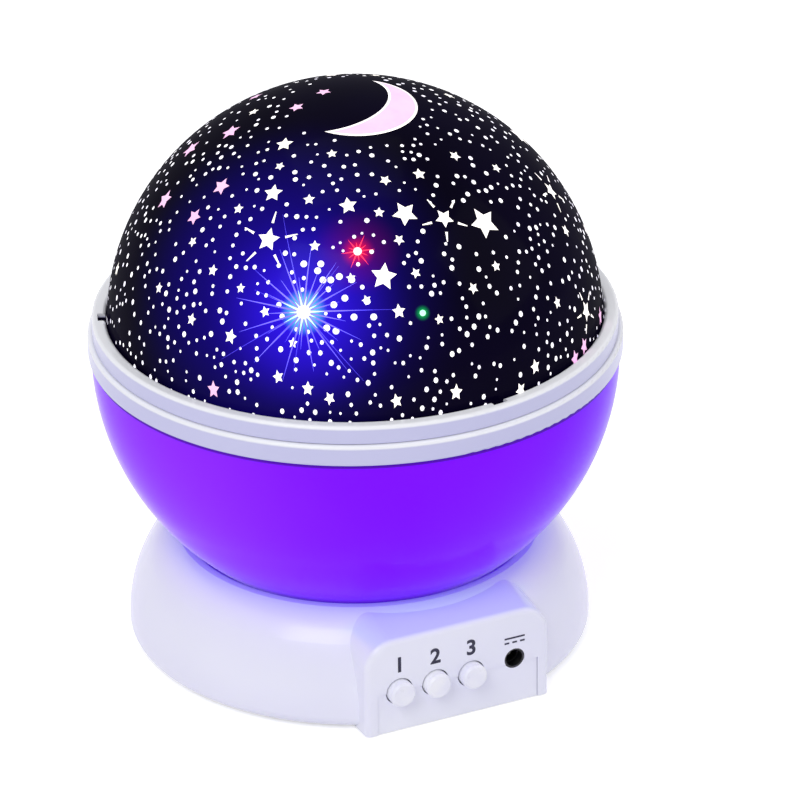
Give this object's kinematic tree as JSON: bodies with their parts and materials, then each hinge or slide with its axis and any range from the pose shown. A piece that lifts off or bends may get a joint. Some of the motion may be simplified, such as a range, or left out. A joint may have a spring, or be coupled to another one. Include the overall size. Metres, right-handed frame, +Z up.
{
  "type": "star night light projector",
  "caption": "Bedside star projector: a lit bowl turns on a base with push buttons and a power socket, and a dark dome pierced with stars twists off.",
  "frame": {"origin": "on the bowl's turning axis, at the height of the surface that the feet stand on", "axes": "+Z up along the turning axis, -Y out of the control box with the buttons, +X to the right seen from the front"},
  "size_m": [0.125, 0.125, 0.1363],
  "materials": {
    "white_plastic": "gloss",
    "white_button": "gloss",
    "white_nylon": "satin",
    "ring_plastic": "gloss",
    "lit_bowl": "gloss",
    "star_film": "gloss",
    "black_rubber": "matte",
    "steel": "satin",
    "battery_wrap": "gloss",
    "circuit_board": "satin",
    "black_plastic": "satin",
    "lamp_white": "gloss",
    "lamp_blue": "gloss",
    "lamp_green": "gloss",
    "lamp_red": "gloss",
    "lead_jacket": "satin"
  },
  "bodies": {
    "base": {"base_shell": "white_plastic", "base_cover": "white_plastic", "rubber_feet": "black_rubber", "case_screws": "steel", "battery_cell_1": "battery_wrap", "battery_cell_2": "battery_wrap", "battery_cell_3": "battery_wrap", "battery_cell_4": "battery_wrap", "battery_contacts": "steel", "battery_springs": "steel", "control_board": "circuit_board", "switch_body_1": "black_plastic", "switch_body_2": "black_plastic", "switch_body_3": "black_plastic", "dc_jack": "black_plastic", "jack_pin": "steel", "motor_can": "steel", "motor_bracket": "steel", "motor_screws": "steel", "gear_axle": "steel", "light_post": "white_nylon", "post_screws": "steel", "led_board": "circuit_board", "board_screws": "steel", "led_white": "lamp_white", "led_blue": "lamp_blue", "led_green": "lamp_green", "led_red": "lamp_red", "thrust_washer": "white_nylon", "led_lead": "lead_jacket", "motor_lead": "lead_jacket", "battery_lead": "lead_jacket"},
    "battery_door": {"battery_door": "white_plastic"},
    "button_1": {"button_1": "white_button", "switch_plunger_1": "white_nylon"},
    "button_2": {"button_2": "white_button", "switch_plunger_2": "white_nylon"},
    "button_3": {"button_3": "white_button", "switch_plunger_3": "white_nylon"},
    "motor_rotor": {"motor_shaft": "steel", "motor_pinion": "white_nylon"},
    "reduction_gear": {"reduction_gear": "white_nylon"},
    "globe": {"bowl": "lit_bowl", "bowl_ring": "ring_plastic", "bowl_gear": "white_nylon", "gear_screws": "steel"},
    "dome": {"star_dome": "star_film", "dome_ring": "ring_plastic"}
  },
  "joints": [
    {"name": "door_hinge", "type": "hinge", "parent": "base", "child": "battery_door", "pos_m": [0, 0.0338, 0.0017], "axis": [1, 0, 0], "range_deg": [0, 75]},
    {"name": "button_1_press", "type": "slide", "parent": "base", "child": "button_1", "axis": [0, 1, 0], "range_m": [0, 0.0015], "stiffness_N_per_m": 250, "springref_m": -0.003},
    {"name": "button_2_press", "type": "slide", "parent": "base", "child": "button_2", "axis": [0, 1, 0], "range_m": [0, 0.0015], "stiffness_N_per_m": 250, "springref_m": -0.003},
    {"name": "button_3_press", "type": "slide", "parent": "base", "child": "button_3", "axis": [0, 1, 0], "range_m": [0, 0.0015], "stiffness_N_per_m": 250, "springref_m": -0.003},
    {"name": "globe_spin", "type": "hinge", "parent": "base", "child": "globe", "pos_m": [0, 0, 0.0727], "axis": [0, 0, 1], "continuous": true},
    {"name": "reduction_spin", "type": "hinge", "parent": "base", "child": "reduction_gear", "pos_m": [0.02536, 0.01365, 0.017], "axis": [0, 0, 1], "continuous": true},
    {"name": "motor_spin", "type": "hinge", "parent": "base", "child": "motor_rotor", "pos_m": [0.0365, 0.00003, 0.014], "axis": [0, 0, 1], "continuous": true},
    {"name": "dome_twist", "type": "hinge", "parent": "globe", "child": "dome", "pos_m": [0, 0, 0.0778], "axis": [0, 0, 1], "range_deg": [0, 20]}
  ],
  "couplings": [
    {"joint": "reduction_spin", "follows": "globe_spin", "ratio": -5},
    {"joint": "motor_spin", "follows": "globe_spin", "ratio": 17}
  ]
}
